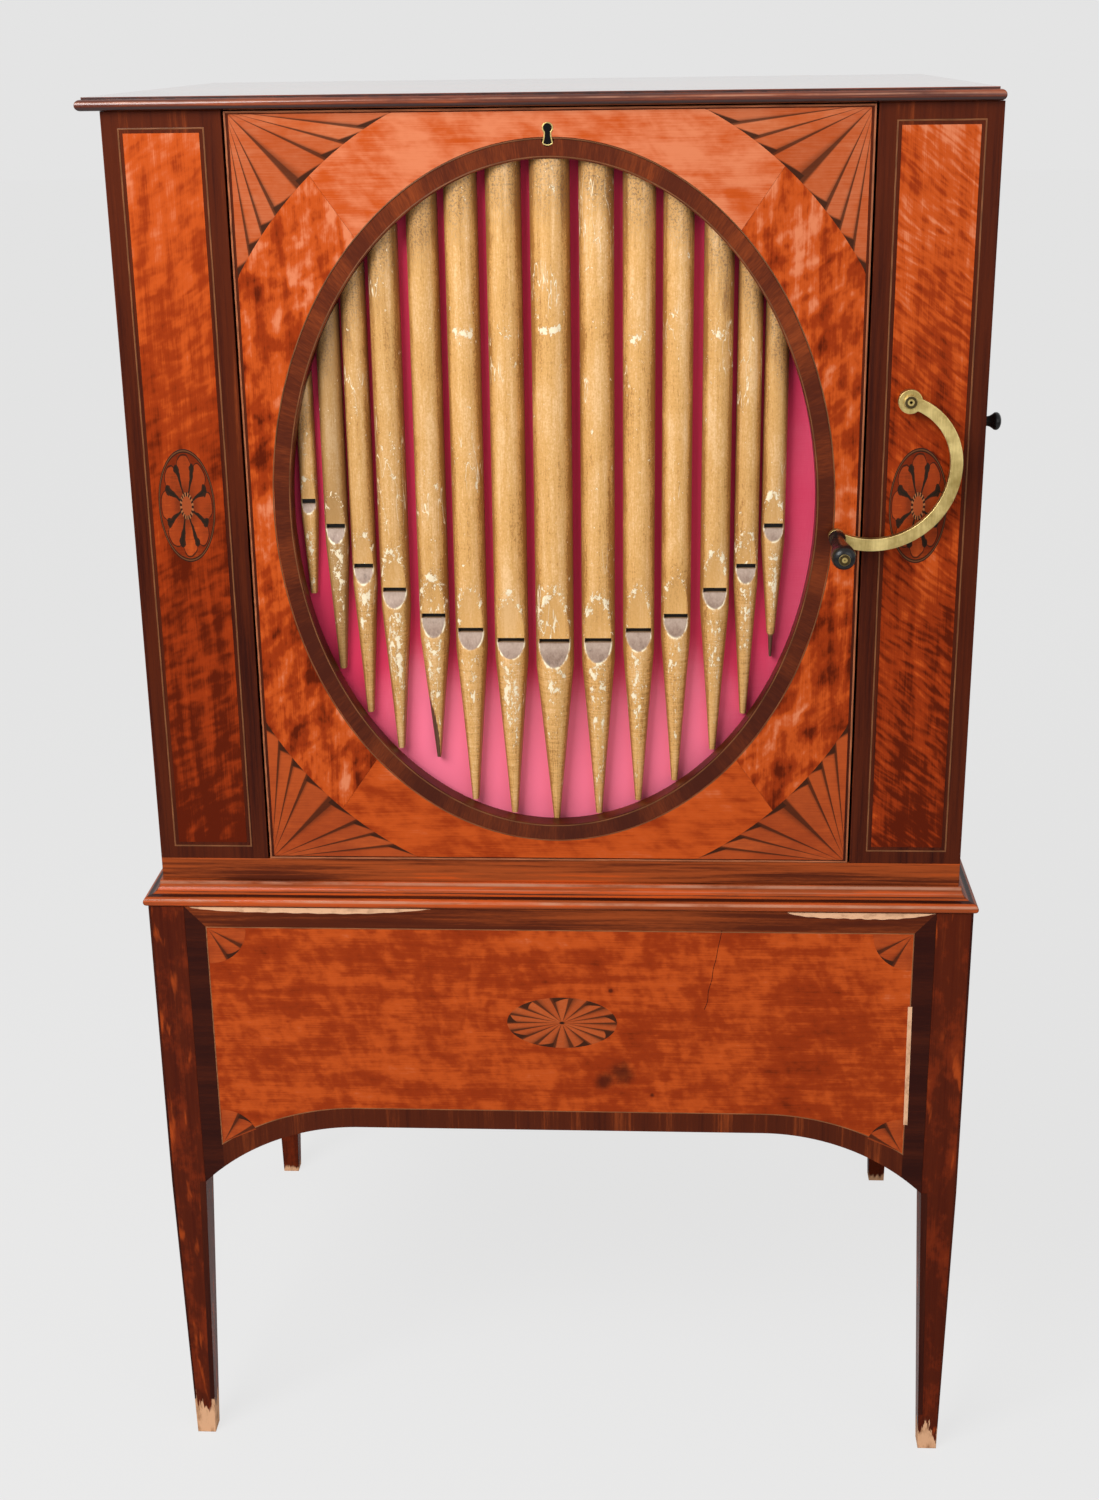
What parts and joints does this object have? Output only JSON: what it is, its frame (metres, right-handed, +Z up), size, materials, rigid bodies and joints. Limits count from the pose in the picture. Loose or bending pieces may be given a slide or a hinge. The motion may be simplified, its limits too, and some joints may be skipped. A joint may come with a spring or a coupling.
{
  "type": "chamber barrel organ on a stand",
  "caption": "Small upright chamber barrel organ in inlaid wood, with gilt dummy pipes in an oval window, a brass crank handle at the front and a hinged lid, on a four-legged stand.",
  "frame": {"origin": "on the floor, midway between the case's sides and between its front and back", "axes": "+Z up, -Y out of the front with the pipes, +X to the right as seen from the front"},
  "size_m": [0.7176, 0.5748, 1.2103],
  "materials": {
    "satinwood_veneer": "polished inlaid veneer",
    "mahogany": "polished",
    "plain_timber": "unpolished",
    "gilt_pipes": "worn gilding",
    "ebonised_wood": "polished black",
    "brass": "worn polish",
    "pink_silk": "faded silk"
  },
  "bodies": {
    "organ": {"back_apron": "plain_timber", "backing_board": "plain_timber", "base_rail": "mahogany", "case_back": "plain_timber", "case_floor": "plain_timber", "case_hinge_leaves": "brass", "front_apron": "satinwood_veneer", "front_panel": "satinwood_veneer", "keyhole_escutcheon": "brass", "left_apron": "mahogany", "left_cleat": "plain_timber", "left_pilaster": "satinwood_veneer", "left_side": "mahogany", "leg_back_left": "mahogany", "leg_back_right": "mahogany", "leg_front_left": "mahogany", "leg_front_right": "mahogany", "oval_banding": "mahogany", "pipe_01": "gilt_pipes", "pipe_02": "gilt_pipes", "pipe_03": "gilt_pipes", "pipe_04": "gilt_pipes", "pipe_05": "gilt_pipes", "pipe_06": "gilt_pipes", "pipe_07": "gilt_pipes", "pipe_08": "gilt_pipes", "pipe_09": "gilt_pipes", "pipe_10": "gilt_pipes", "pipe_11": "gilt_pipes", "pipe_12": "gilt_pipes", "pipe_13": "gilt_pipes", "pipe_14": "gilt_pipes", "right_apron": "mahogany", "right_cleat": "plain_timber", "right_pilaster": "satinwood_veneer", "right_side": "mahogany", "silk": "pink_silk", "stand_top": "plain_timber", "waist_moulding_front": "mahogany", "waist_moulding_left": "mahogany", "waist_moulding_right": "mahogany"},
    "crank": {"crank_axle": "brass", "crank_arm": "brass"},
    "grip": {"crank_grip": "ebonised_wood"},
    "stop": {"stop_knob": "ebonised_wood"},
    "lid": {"lid": "mahogany", "lid_hinge_leaves": "brass"}
  },
  "joints": [
    {"name": "crank_turn", "type": "hinge", "parent": "organ", "child": "crank", "pos_m": [0.279, -0.251, 0.9795], "axis": [0, 1, 0], "continuous": true},
    {"name": "grip_spin", "type": "hinge", "parent": "crank", "child": "grip", "pos_m": [0.226, -0.289, 0.8722], "axis": [0, 1, 0], "continuous": true},
    {"name": "stop_pull", "type": "slide", "parent": "organ", "child": "stop", "axis": [1, 0, 0], "range_m": [0, 0.025]},
    {"name": "lid_hinge", "type": "hinge", "parent": "organ", "child": "lid", "pos_m": [0, 0.245, 1.2003], "axis": [-1, 0, 0], "range_deg": [0, 100]}
  ]
}
